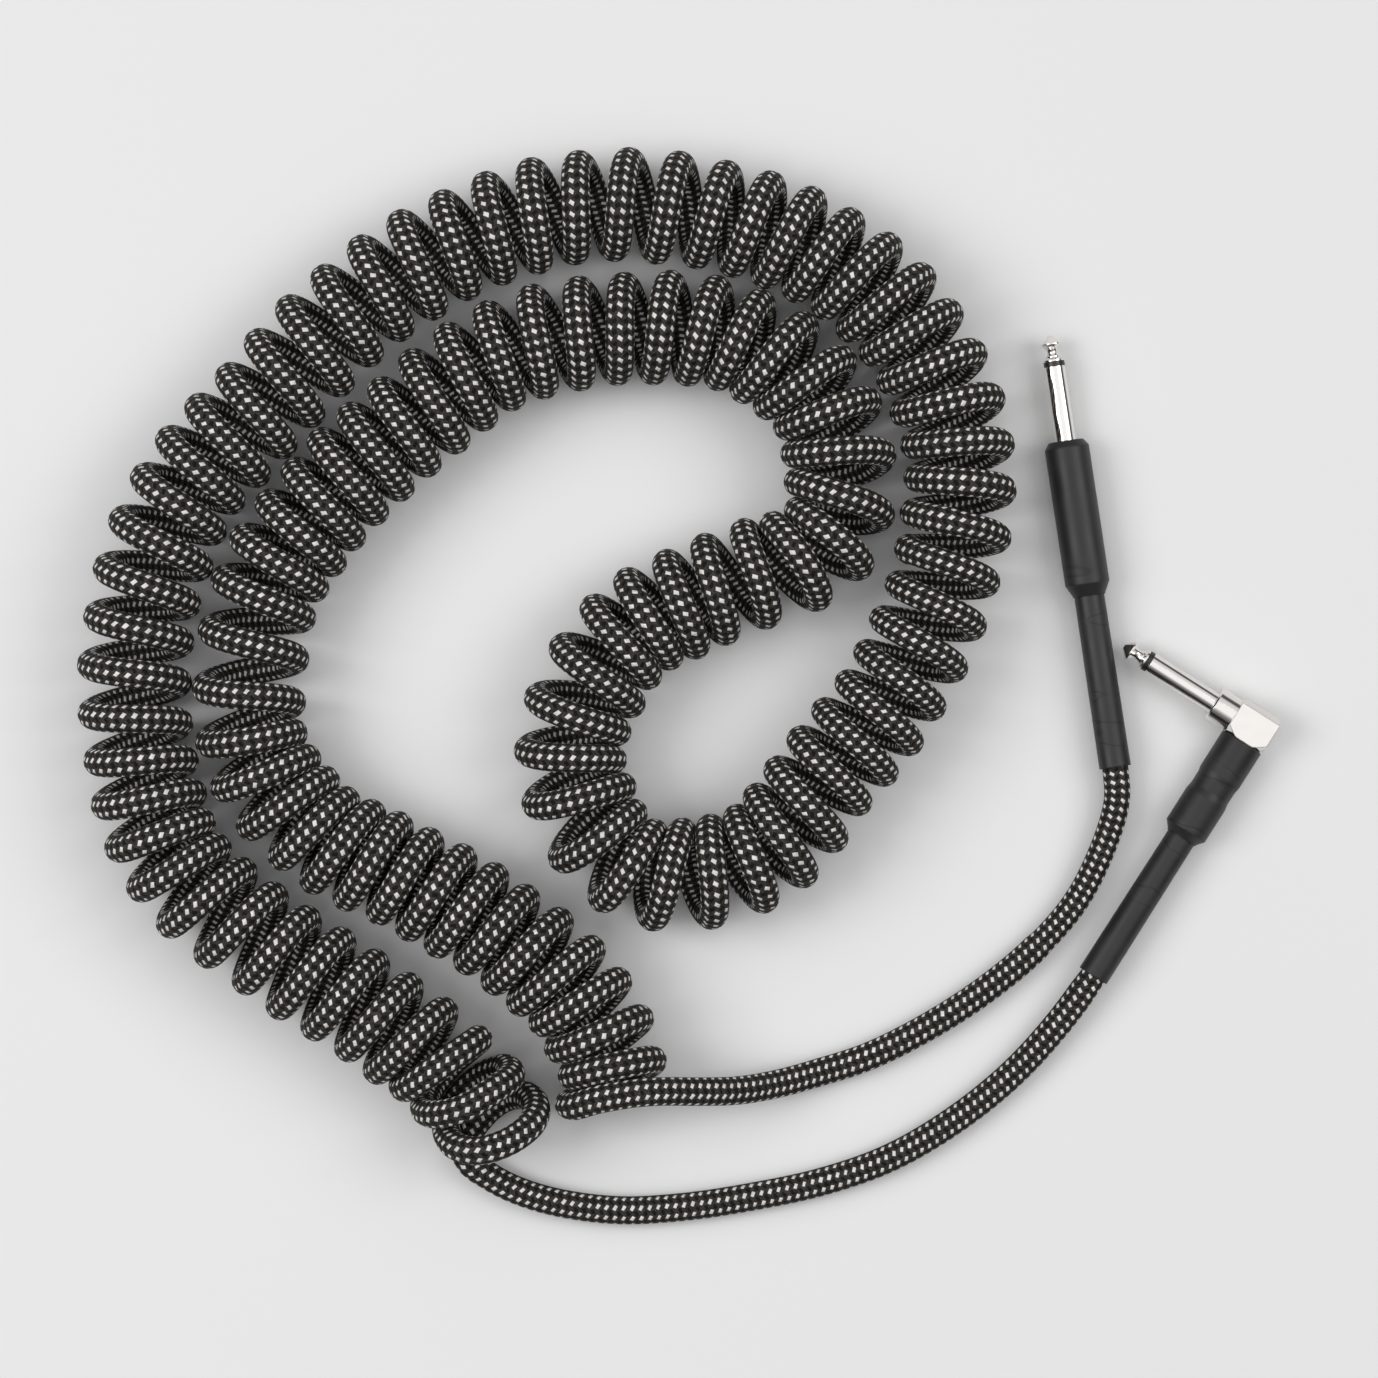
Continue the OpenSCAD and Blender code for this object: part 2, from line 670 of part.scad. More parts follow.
// Ring behind the ground sleeve, strip along the barrel and clamp round the jacket
module angle_ground_lug() {
    ring_y = shaft_reach - angle_washer_s;
    strip_end = angle_jacket_s + 2 * ground_strip_t;
    color(nickel) {
        in_angle_shaft()
            turned_ring(angle_boss_s, angle_washer_s, rod_tube_r + fit_gap, washer_d / 2);
        in_angle_plug() translate([-strip_end, ring_y, -ground_strip_w / 2])
            cube([strip_end - rod_tube_r - tube_clear, ground_strip_t, ground_strip_w]);
        in_angle_barrel() clamp_band(angle_jacket_s, [0, 1]);
    }
}

module angle_rear_washer() {
    color(fibre_brown) in_angle_shaft()
        turned_ring(angle_washer_s, angle_lug_s, rod_r + fit_gap, washer_d / 2);
}

// Ring behind the washer, and a strip that runs into the barrel and steps in to the wire
module angle_tip_lug() {
    step_x = angle_jacket_s - core_len - wire_len - lug_room;
    far_y = shaft_reach - angle_lug_s;
    near_y = far_y - tip_lug_t;
    seat = wire_seat + tip_lug_t;
    color(nickel) {
        in_angle_shaft()
            turned_ring(angle_lug_s, angle_head_s, rod_r + fit_gap, tip_lug_d / 2);
        in_angle_plug() linear_extrude(height = tip_strip_w, center = true) polygon([
            [-rod_r - rod_clear, far_y], [-step_x, far_y], [-step_x - lug_step, seat],
            [-step_x - lug_reach, seat], [-step_x - lug_reach, wire_seat],
            [-step_x - lug_step, wire_seat], [-step_x, near_y], [-rod_r - rod_clear, near_y]]);
    }
}

// Elbow seen from above, with rounded corners at its far face
module elbow_plan() {
    x = elbow_front - elbow_corner_r;
    y = elbow_w / 2 - elbow_corner_r;
    translate([-elbow_back, -elbow_w / 2]) square([elbow_back + x, elbow_w]);
    translate([-elbow_back, -y]) square([elbow_back + elbow_front, 2 * y]);
    for (side = [-1, 1]) translate([x, side * y]) circle(elbow_corner_r);
}

// Elbow seen along the shaft, with chamfers at its far face
module elbow_side() {
    h = elbow_h / 2;
    polygon([
        [-elbow_back, -h], [elbow_front - elbow_chamfer, -h], [elbow_front, elbow_chamfer - h],
        [elbow_front, h - elbow_chamfer], [elbow_front - elbow_chamfer, h], [-elbow_back, h]]);
}

// Die-cast elbow: a block that turns round towards the barrel, bored along both axes
module angle_elbow_body() {
    reach = elbow_w;
    color(nickel) in_angle_plug() difference() {
        union() {
            intersection() {
                translate([0, 0, -elbow_h / 2]) linear_extrude(height = elbow_h) elbow_plan();
                rotate([90, 0, 0]) linear_extrude(height = elbow_w, center = true) elbow_side();
                rotate([0, -90, 0]) rotate_extrude() polygon([
                    [0, -reach], [reach, -reach], [reach, elbow_back - (reach - barrel_r)],
                    [barrel_r, elbow_back], [0, elbow_back]]);
            }
            rotate([0, -90, 0]) cylinder(h = elbow_back + tail_len, r = spigot_r);
        }
        translate([elbow_front - elbow_end_wall, 0, 0]) rotate([0, -90, 0])
            cylinder(h = elbow_front - elbow_end_wall + elbow_back + tail_len + 1, r = elbow_bore_r);
        translate([0, spigot_hole_y, 0]) rotate([-90, 0, 0])
            cylinder(h = elbow_w / 2 - spigot_hole_y + 1, r = elbow_spigot_r + fit_gap);
    }
}

module angle_barrel() {
    in_angle_barrel() barrel(elbow_back, angle_barrel_back);
}

module angle_liner() {
    in_angle_barrel() liner(elbow_back + tail_len + fit_gap, angle_barrel_back - end_wall - fit_gap);
}

// Heat-shrink cover with a waist, over the barrel and the front of the strain sleeve
module angle_barrel_cover() {
    cover_r = angle_cover_d / 2;
    waist_from = elbow_back + angle_barrel_len * waist_share[0];
    waist_to = elbow_back + angle_barrel_len * waist_share[1];
    color(shrink_black) in_angle_barrel() rotate_extrude() polygon(concat(
        [
            [cover_in_r, elbow_back], [cover_r - cover_edge, elbow_back],
            [cover_r, elbow_back + cover_edge],
            [cover_r, waist_from - waist_slope], [angle_waist_d / 2, waist_from],
            [angle_waist_d / 2, waist_to], [cover_r, waist_to + waist_slope]
        ],
        shoulder_outline(cover_r, angle_barrel_back, angle_tail_s),
        cover_seat(angle_barrel_back, angle_tail_s)));
}

module angle_strain_sleeve() {
    in_angle_barrel() strain_sleeve(angle_barrel_back - end_wall, angle_tail_s, angle_len);
}

module angle_core() {
    in_angle_barrel() core(angle_jacket_s);
}

module angle_conductor() {
    in_angle_barrel() conductor(angle_jacket_s);
}

module angle_shield_tail() {
    in_angle_barrel() shield_tail(angle_jacket_s, [0, 1]);
}

coiled_cord();
echo(least_gap_mm = least_gap());  // coiled_cord
straight_lead();
angle_lead();
straight_tip_contact();
straight_tip_insulator();
straight_rod_insulator();
straight_ground_sleeve();
straight_ground_lug();
straight_rear_washer();
straight_tip_lug();
straight_barrel();
straight_liner();
straight_barrel_cover();
straight_strain_sleeve();
straight_core();
straight_conductor();
straight_shield_tail();
angle_tip_contact();
angle_tip_insulator();
angle_rod_insulator();
angle_ground_sleeve();
angle_ground_lug();
angle_rear_washer();
angle_tip_lug();
angle_elbow_body();
angle_barrel();
angle_liner();
angle_barrel_cover();
angle_strain_sleeve();
angle_core();
angle_conductor();
angle_shield_tail();
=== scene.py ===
"""Looks for the curled instrument cable: braided cord, nickel plugs, heat-shrink sleeves.

Lengths are in metres, unless a name or a comment says otherwise.
"""

import math

import bpy
import numpy as np
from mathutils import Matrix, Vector


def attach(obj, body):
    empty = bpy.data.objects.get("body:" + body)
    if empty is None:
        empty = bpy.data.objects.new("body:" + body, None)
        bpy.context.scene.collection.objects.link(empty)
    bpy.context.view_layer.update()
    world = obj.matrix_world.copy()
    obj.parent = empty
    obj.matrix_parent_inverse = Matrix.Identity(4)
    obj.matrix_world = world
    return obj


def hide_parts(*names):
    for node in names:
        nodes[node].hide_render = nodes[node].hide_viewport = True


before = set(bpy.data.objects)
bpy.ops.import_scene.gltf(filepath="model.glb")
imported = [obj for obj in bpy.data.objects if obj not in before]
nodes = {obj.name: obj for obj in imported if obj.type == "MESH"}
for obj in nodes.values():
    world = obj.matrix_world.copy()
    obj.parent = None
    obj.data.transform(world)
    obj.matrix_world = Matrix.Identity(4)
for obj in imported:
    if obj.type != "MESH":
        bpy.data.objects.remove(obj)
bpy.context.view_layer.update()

# ---------------------------------------------------------------- camera
# Straight down, +Y up in the picture, on a long lens.
VIEW_CENTRE = (-0.1407, -0.0087)
VIEW_WIDTH = 0.4113
VIEW_PLANE = 0.0067
CAMERA_HEIGHT = 1.5
camera_data = bpy.data.cameras.new("camera")
camera_data.sensor_width = 36
camera_data.lens = 36 * CAMERA_HEIGHT / VIEW_WIDTH
camera_data.clip_start = 0.05
camera_data.clip_end = 20
camera = bpy.data.objects.new("camera", camera_data)
camera.location = (*VIEW_CENTRE, VIEW_PLANE + CAMERA_HEIGHT)
bpy.context.scene.collection.objects.link(camera)
bpy.context.scene.camera = camera

# ---------------------------------------------------------------- the cord's middle line
# The coil's line is seen from above; its first and last points only steer it.
COIL_ROUTE = np.array([
    (-0.192, -0.17), (-0.207, -0.129), (-0.233, -0.106), (-0.263, -0.086), (-0.292, -0.062),
    (-0.303, -0.03), (-0.304, 0.009), (-0.292, 0.046), (-0.269, 0.074), (-0.242, 0.102),
    (-0.21, 0.123), (-0.174, 0.134), (-0.134, 0.132), (-0.101, 0.12), (-0.075, 0.097),
    (-0.061, 0.064), (-0.064, 0.028), (-0.078, -0.006), (-0.099, -0.033), (-0.122, -0.059),
    (-0.158, -0.061), (-0.176, -0.029), (-0.161, 0.005), (-0.133, 0.021), (-0.099, 0.037),
    (-0.1, 0.073), (-0.126, 0.095), (-0.161, 0.098), (-0.197, 0.09), (-0.225, 0.069),
    (-0.249, 0.046), (-0.267, 0.018), (-0.27, -0.024), (-0.252, -0.05), (-0.225, -0.064),
    (-0.198, -0.08), (-0.173, -0.101), (-0.161, -0.129), (-0.163, -0.138),
])

STRAIGHT_LEAD = np.array([
    (-0.155, -0.1185, 0.0265), (-0.1508, -0.1185, 0.0175), (-0.154, -0.1215, 0.009),
    (-0.163, -0.126, 0.00425), (-0.172, -0.1305, 0.0065), (-0.1763, -0.1313, 0.014),
    (-0.1745, -0.1308, 0.0225), (-0.1685, -0.1284, 0.0273), (-0.16, -0.1271, 0.0288),
    (-0.15, -0.127, 0.0275), (-0.138, -0.1276, 0.0225), (-0.126, -0.1278, 0.0155),
    (-0.114, -0.1263, 0.0088), (-0.102, -0.1233, 0.005), (-0.087, -0.1185, 0.00425),
    (-0.069, -0.1095, 0.00425), (-0.052, -0.0985, 0.00425), (-0.037, -0.086, 0.0043),
    (-0.025, -0.072, 0.0048), (-0.017, -0.056, 0.0057), (-0.013, -0.042, 0.0065),
])

ANGLE_LEAD = np.array([
    (-0.206, -0.114, 0.0265), (-0.2025, -0.112, 0.018), (-0.2055, -0.115, 0.009),
    (-0.2125, -0.121, 0.00425), (-0.2185, -0.128, 0.007), (-0.2195, -0.133, 0.016),
    (-0.215, -0.134, 0.0255), (-0.207, -0.132, 0.0298), (-0.1985, -0.127, 0.027),
    (-0.1935, -0.1235, 0.0185), (-0.1955, -0.1215, 0.01), (-0.202, -0.124, 0.0048),
    (-0.207, -0.128, 0.00425), (-0.211, -0.1335, 0.0044), (-0.2127, -0.138, 0.0095),
    (-0.212, -0.1415, 0.017), (-0.2085, -0.144, 0.0245), (-0.202, -0.1445, 0.0285),
    (-0.194, -0.142, 0.0275), (-0.1875, -0.1375, 0.0225), (-0.186, -0.133, 0.015),
    (-0.189, -0.13, 0.008), (-0.1945, -0.1305, 0.00425), (-0.2, -0.1335, 0.00425),
    (-0.2045, -0.138, 0.00425), (-0.2073, -0.1423, 0.00425), (-0.208, -0.1465, 0.00425),
    (-0.206, -0.1505, 0.00425), (-0.201, -0.154, 0.00425), (-0.1935, -0.158, 0.00425),
    (-0.181, -0.162, 0.00425), (-0.162, -0.1645, 0.00425), (-0.142, -0.1635, 0.00425),
    (-0.122, -0.1605, 0.00425), (-0.101, -0.156, 0.00425), (-0.081, -0.149, 0.00425),
    (-0.062, -0.138, 0.00425), (-0.045, -0.1245, 0.0043), (-0.032, -0.1105, 0.0052),
])

# Each plug's mouth is where the cord goes in; the plug lies from there along its heading.
STRAIGHT_MOUTH, STRAIGHT_HEADING = np.array([-0.0135, -0.032, 0.00665]), math.radians(98.6)
ANGLE_MOUTH, ANGLE_HEADING = np.array([-0.0201, -0.0943, 0.0067]), math.radians(57.5)
INSIDE_STRAIGHT, INSIDE_ANGLE = 0.028, 0.066   # how far the cord is drawn into each plug

CURLS, PER_CURL = 106, 32
COIL_FROM, COIL_TO = 4 / 3, 110 / 3   # where the curls start and end, on the coil's route
CORD_R = 0.00425          # in the coil
LEAD_R = 0.0042
PLUG_R = 0.0039           # inside the strain sleeves
CURL_R = 0.0128
LEAN = 0.5                # lean of each curl along the coil, as a share of the pitch
LOOK = 2 / 3              # how far to each side, in points, the coil's way is looked at
# No two curls are quite alike: two waves of the curls' radius, each with its size, its rate in
# radians a curl and its start.
UNEVEN = ((0.00022, 2.1, 0.7), (0.00016, 5.3, 2.0))
STEP = 0.0025             # between points of a lead
UP = np.array([0.0, 0.0, 1.0])


def unit(v):
    return v / np.linalg.norm(v, axis=-1, keepdims=True)


def flat_way(heading):
    return np.array([math.cos(heading), math.sin(heading), 0])


def through(points, t):
    """The smooth curve through points, at places t."""
    i = np.clip(np.floor(t).astype(int), 1, len(points) - 3)
    f = (t - i)[:, None]
    a, b, c, d = points[i - 1], points[i], points[i + 1], points[i + 2]
    return 0.5 * (2 * b + (c - a) * f + (2 * a - 5 * b + 4 * c - d) * f**2
                  + (3 * b - a - 3 * c + d) * f**3)


def curve(points):
    """An evenly stepped curve through points, from the second to the last but one."""
    found = []
    for a, b, c, d in zip(points[:-3], points[1:-2], points[2:-1], points[3:]):
        k = np.cumsum([0] + [np.linalg.norm(q - p) ** 0.5 for p, q in ((a, b), (b, c), (c, d))])
        n = max(1, round(float(np.linalg.norm(c - b)) / STEP))
        for t in np.linspace(k[1], k[2], n, endpoint=False):
            ab = a + (b - a) * (t - k[0]) / (k[1] - k[0])
            bc = b + (c - b) * (t - k[1]) / (k[2] - k[1])
            cd = c + (d - c) * (t - k[2]) / (k[3] - k[2])
            abc = ab + (bc - ab) * (t - k[0]) / (k[2] - k[0])
            bcd = bc + (cd - bc) * (t - k[1]) / (k[3] - k[1])
            found.append(abc + (bcd - abc) * (t - k[1]) / (k[2] - k[1]))
    return np.array(found)


def coil_line():
    """Left-handed curls, back from the top of the last one to the top of the first."""
    turn = np.arange(CURLS * PER_CURL + 1) / PER_CURL
    angle = -2 * math.pi * turn
    pitch = (COIL_TO - COIL_FROM) / CURLS
    place = COIL_TO - turn * pitch - LEAN * np.sin(angle) / (2 * math.pi) * pitch
    ahead = unit(through(COIL_ROUTE, place + LOOK) - through(COIL_ROUTE, place - LOOK))
    left = np.stack([-ahead[:, 1], ahead[:, 0], 0 * turn], 1)
    out = np.sin(angle)[:, None] * left + np.cos(angle)[:, None] * UP
    middle = np.column_stack([through(COIL_ROUTE, place), 0 * turn + CURL_R + CORD_R])
    uneven = sum(size * np.sin(rate * turn + start) for size, rate, start in UNEVEN)
    uneven = uneven * np.minimum(1, np.minimum(turn, CURLS - turn))
    return middle + (CURL_R + uneven)[:, None] * out


SETTLE_ROUNDS = 60
SETTLE_RATE = 1.3         # share of each push that is followed, over 1 to settle sooner
NEAR = 2.7 * CORD_R       # strands closer than this are watched
SAME_STRAND = 12          # points this close along the cord never push each other
BLOCK = 400               # points compared with the whole line at a time
SPREAD = 3.0              # points over which a push is spread, as a bell curve
SOFTEN = 25               # points over which a step in the cord's thickness or looseness is eased


def settle(line, loose):
    """Pushes strands that lie in each other apart, and up off the table, as pressed curls do."""
    line = line.copy()
    near = []
    for i in range(0, len(line), BLOCK):
        part = line[i:i + BLOCK]
        gap = np.linalg.norm(part[:, None] - line[None], axis=2)
        a, b = np.nonzero(gap < NEAR)
        keep = b - (a + i) > SAME_STRAND
        near.append(np.column_stack([a[keep] + i, b[keep]]))
    a, b = np.concatenate(near).T
    reach = round(3 * SPREAD)
    kernel = np.exp(-0.5 * (np.arange(-reach, reach + 1) / SPREAD) ** 2)
    kernel /= kernel.sum()
    for _ in range(SETTLE_ROUNDS):
        apart = line[b] - line[a]
        gap = np.linalg.norm(apart, axis=1)
        short = np.maximum(2 * CORD_R - gap, 0)
        push = apart * (0.5 * short / gap)[:, None]
        move, count = np.zeros_like(line), np.zeros(len(line))
        np.add.at(move, a, -push)
        np.add.at(move, b, push)
        np.add.at(count, a, short > 0)
        np.add.at(count, b, short > 0)
        move /= np.maximum(count, 1)[:, None]
        move = np.column_stack([np.convolve(move[:, k], kernel, "same") for k in range(3)])
        line += SETTLE_RATE * move * loose[:, None]
        line[:, 2] = np.maximum(line[:, 2], LEAD_R)
    return line


def ease(line, at, reach=16, strength=0.8, rounds=6):
    """Rounds the line off where two stretches meet, at point number at."""
    i = np.arange(at - reach, at + reach + 1)
    share = np.clip(1 - np.abs(i - at) / reach, 0, 1)[:, None] * strength
    for _ in range(rounds):
        line[i] += share * ((line[i - 1] + line[i + 1]) / 2 - line[i])


def cord_line():
    """The whole middle line from the straight plug to the right-angle one, and the numbers of
    the points where the coil starts and ends."""
    coil = coil_line()
    # In both leads the first and the last point only steer the curve.
    heading = flat_way(STRAIGHT_HEADING)
    straight = curve(np.array([
        STRAIGHT_MOUTH + 0.05 * heading, STRAIGHT_MOUTH + INSIDE_STRAIGHT * heading,
        STRAIGHT_MOUTH, *STRAIGHT_LEAD[::-1], coil[0], coil[3]]))
    heading = flat_way(ANGLE_HEADING)
    angled = curve(np.array([
        coil[-4], coil[-1], *ANGLE_LEAD, ANGLE_MOUTH, ANGLE_MOUTH + INSIDE_ANGLE * heading,
        ANGLE_MOUTH + 0.08 * heading]))
    angled = np.vstack([angled, ANGLE_MOUTH + INSIDE_ANGLE * heading])
    line = np.vstack([straight, coil[:-1], angled])
    joins = len(straight), len(straight) + len(coil) - 1
    for at in joins:
        ease(line, at)
    # Only the coil and what lies against it gives way: this many points before and after it.
    before, after = 50, 110
    loose = np.zeros(len(line))
    loose[joins[0] - before:joins[1] + after] = 1
    loose = np.convolve(loose, np.ones(SOFTEN) / SOFTEN, "same")
    return settle(line, loose), joins


# The braid: rows of dashes along the cord
DASH_PITCH = 0.0026       # from dash to dash along the cord
ROWS = 8                  # rows of dashes round the cord
ROW_PITCH = 0.0033        # from row to row round the cord


def tube(name, line, radii, sides=20):
    """A closed tube along line. Its UVs count dashes of the braid along the cord, and rows
    round it."""
    ahead = unit(np.gradient(line, axis=0))
    side = unit(np.cross(ahead[0], UP))
    up = np.cross(side, ahead[0])
    ups = []
    for t in ahead:
        up = unit(up - t * (up @ t))
        ups.append(up)
    ups = np.array(ups)
    sides_way = np.cross(ahead, ups)
    turn = 2 * math.pi * np.arange(sides) / sides
    ring = (np.cos(turn)[None, :, None] * ups[:, None]
            + np.sin(turn)[None, :, None] * sides_way[:, None])
    points = (line[:, None] + radii[:, None, None] * ring).reshape(-1, 3)
    n = len(line)
    i = np.arange(n - 1)[:, None] * sides
    k = np.arange(sides)[None, :]
    after = (k + 1) % sides
    quads = np.stack([i + k, i + after, i + sides + after, i + sides + k], 2).reshape(-1, 4)
    mesh = bpy.data.meshes.new(name)
    ends = [list(range(sides))[::-1], list(range((n - 1) * sides, n * sides))]
    mesh.from_pydata(points.tolist(), [], quads.tolist() + ends)
    along = np.concatenate([[0], np.cumsum(np.linalg.norm(np.diff(line, axis=0), axis=1))])
    row = np.broadcast_to(k / sides * ROWS, (n - 1, sides))
    next_row = row + ROWS / sides
    here = np.broadcast_to(along[:-1, None] / DASH_PITCH, row.shape)
    there = np.broadcast_to(along[1:, None] / DASH_PITCH, row.shape)
    uv = np.zeros((len(mesh.loops), 2), np.float32)
    uv[:len(quads) * 4, 0] = np.stack([here, here, there, there], 2).ravel()
    uv[:len(quads) * 4, 1] = np.stack([row, next_row, next_row, row], 2).ravel()
    layer = mesh.uv_layers.new(name="UVMap")
    layer.data.foreach_set("uv", uv.ravel())
    mesh.shade_smooth()
    mesh.update()
    obj = bpy.data.objects.new(name, mesh)
    bpy.context.scene.collection.objects.link(obj)
    return obj


# ---------------------------------------------------------------- materials
class Finish:
    """A node material with one principled shader."""

    def __init__(self, name, **values):
        self.material = bpy.data.materials.new(name)
        self.material.use_nodes = True
        self.tree = self.material.node_tree
        self.shader = self.tree.nodes["Principled BSDF"]
        for key, value in values.items():
            self.shader.inputs[key.replace("_", " ")].default_value = value

    def node(self, kind, **settings):
        made = self.tree.nodes.new(kind)
        for key, value in settings.items():
            setattr(made, key, value)
        return made

    def link(self, source, target):
        """Links an output to target, or sets target to a number or a colour."""
        if isinstance(source, (int, float, tuple)):
            target.default_value = source
        else:
            self.tree.links.new(source, target)

    def math(self, operation, *args):
        made = self.node("ShaderNodeMath", operation=operation)
        for socket, value in zip(made.inputs, args):
            self.link(value, socket)
        return made.outputs[0]

    def ramp(self, value, low, high):
        """0 where value is under low, 1 where it is over high, smooth between."""
        made = self.node("ShaderNodeMapRange", interpolation_type="SMOOTHSTEP")
        self.link(value, made.inputs["Value"])
        made.inputs["From Min"].default_value = low
        made.inputs["From Max"].default_value = high
        return made.outputs["Result"]

    def mix(self, share, a, b):
        made = self.node("ShaderNodeMix", data_type="RGBA")
        self.link(share, made.inputs[0])
        self.link(a, made.inputs[6])
        self.link(b, made.inputs[7])
        return made.outputs[2]

    def noise(self, scale, detail=2.0, stretch=None, turn=(0, 0, 0), roughness=0.5):
        """Noise in the object's own space, scale in cells a metre, drawn out by stretch along
        axes that are turned by turn."""
        place = self.node("ShaderNodeTexCoord").outputs["Object"]
        if stretch:
            mapping = self.node("ShaderNodeMapping", vector_type="TEXTURE")
            self.link(place, mapping.inputs["Vector"])
            mapping.inputs["Rotation"].default_value = turn
            mapping.inputs["Scale"].default_value = stretch
            place = mapping.outputs["Vector"]
        made = self.node("ShaderNodeTexNoise")
        self.link(place, made.inputs["Vector"])
        made.inputs["Scale"].default_value = scale
        made.inputs["Detail"].default_value = detail
        made.inputs["Roughness"].default_value = roughness
        return made.outputs[0]

    def bump(self, height, distance, strength=1.0, edge=0.0):
        """Relief from height, with sharp edges rounded off to radius edge."""
        made = self.node("ShaderNodeBump")
        if edge:
            rounded = self.node("ShaderNodeBevel", samples=6)
            rounded.inputs["Radius"].default_value = edge
            self.link(rounded.outputs["Normal"], made.inputs["Normal"])
        made.inputs["Strength"].default_value = strength
        made.inputs["Distance"].default_value = distance
        self.link(height, made.inputs["Height"])
        self.link(made.outputs["Normal"], self.shader.inputs["Normal"])

    def colour(self, source):
        self.link(source, self.shader.inputs["Base Color"])

    def rough(self, source):
        self.link(source, self.shader.inputs["Roughness"])


def grey(v, warm=0.0):
    return (v * (1 + warm), v, v * (1 - warm), 1.0)


# Dashes of the braid, in millimetres
DASH_WIDTH = 0.95
WHITE_LENGTH, BLACK_LENGTH = 1.54, 1.55
DASH_LEAN = math.radians(62)   # from the cord's own way
YARN_WIDTH = 0.36              # of one end of yarn in a dash
WOBBLE = 0.4                   # of a dash's edges, over the whole range of the noise


def braid():
    """A cotton-like braid: off-white dashes that lean one way, black ones that lean the other,
    on a dark grey weave."""
    f = Finish("braid", Sheen_Weight=0.03, Sheen_Roughness=0.4, Specular_IOR_Level=0.15)
    uv = f.node("ShaderNodeUVMap", uv_map="UVMap").outputs["UV"]
    apart = f.node("ShaderNodeSeparateXYZ")
    f.link(uv, apart.inputs[0])
    u, v = apart.outputs["X"], apart.outputs["Y"]

    # No two dashes are quite the same size.
    wobble = f.math("MULTIPLY", f.math("SUBTRACT", f.noise(420, 1), 0.5), WOBBLE)

    def from_middle(place, shift, pitch):
        """The way from the middle of the cell that place is in, in millimetres."""
        share = f.math("SUBTRACT", f.math("FRACT", f.math("ADD", place, shift)), 0.5)
        return f.math("MULTIPLY", share, pitch * 1000)

    def dash(shift, lean, length):
        """1 inside a leaning dash, the dash's own dome, and the way across it in millimetres.
        The cells are shifted by a share of a cell; lean is 1 for one way and -1 for the other."""
        x, y = from_middle(u, shift, DASH_PITCH), from_middle(v, shift, ROW_PITCH)
        c, s = math.cos(DASH_LEAN), -math.sin(DASH_LEAN) * lean
        lengthwise = f.math("ADD", f.math("MULTIPLY", x, c), f.math("MULTIPLY", y, s))
        across = f.math("ADD", f.math("MULTIPLY", x, -s * lean), f.math("MULTIPLY", y, c * lean))
        far = f.math("ADD", f.math("ABSOLUTE", lengthwise), wobble)
        wide = f.math("ADD", f.math("ABSOLUTE", across), wobble)
        half_length, half_width = length / 2, DASH_WIDTH / 2
        inside = f.math("MULTIPLY", f.ramp(far, half_length + 0.08, half_length - 0.08),
                        f.ramp(wide, half_width + 0.07, half_width - 0.07))
        dome = f.math("MULTIPLY", f.ramp(far, half_length + 0.15, 0.2),
                      f.ramp(wide, half_width + 0.2, 0.05))
        return inside, dome, across

    def yarn(across):
        """Waves from 0 to 1: fine ends of yarn that run along a dash."""
        wave = f.math("SINE", f.math("MULTIPLY", across, 2 * math.pi / YARN_WIDTH))
        return f.math("MULTIPLY_ADD", wave, 0.5, 0.5)

    white, white_dome, white_across = dash(0.0, 1, WHITE_LENGTH)
    black, black_dome, black_across = dash(0.5, -1, BLACK_LENGTH)
    white_yarn, black_yarn = yarn(white_across), yarn(black_across)

    wool = f.noise(900, 3, roughness=0.65)
    patch = f.noise(160, 1)
    ground = f.mix(f.ramp(wool, 0.3, 0.7), grey(0.014, 0.09), grey(0.05, 0.09))
    blacks = f.mix(wool, grey(0.003), grey(0.008, 0.03))
    whites = f.mix(f.math("MULTIPLY", white_yarn, f.ramp(wool, 0.25, 0.6)),
                   grey(0.74, 0.045), grey(0.96, 0.035))
    whites = f.mix(f.ramp(patch, 0.35, 0.65), f.mix(0.25, whites, grey(0.35, 0.03)), whites)
    f.colour(f.mix(white, f.mix(f.math("MULTIPLY", black, 0.92), ground, blacks), whites))
    f.rough(f.math("SUBTRACT", 0.78, f.math("MULTIPLY", white, 0.33)))
    height = f.math("MULTIPLY", white_dome, 0.75)
    for relief, share in (
            (black_dome, 0.6), (wool, 0.35),
            (f.math("MULTIPLY", white_yarn, white), 0.18),
            (f.math("MULTIPLY", black_yarn, black), 0.12)):
        height = f.math("ADD", height, f.math("MULTIPLY", relief, share))
    f.bump(height, 0.0003, 0.9)
    return f.material


def nickel(name, edge, waviness):
    """Bright plating with a little haze, its edges rounded off to radius edge; waviness is that
    of the metal under it."""
    f = Finish(name, Metallic=1.0)
    haze = f.noise(260, 2)
    f.colour(f.mix(haze, grey(0.76, 0.035), grey(0.84, 0.03)))
    f.rough(f.math("MULTIPLY_ADD", haze, 0.10, 0.06))
    height = f.math("MULTIPLY_ADD", f.noise(90, 0), waviness, f.noise(1500, 2))
    f.bump(height, 0.00001, 0.35, edge)
    return f.material


SHRINK_EDGE = 0.0008      # rounds off the steps that the seams of its mesh would show


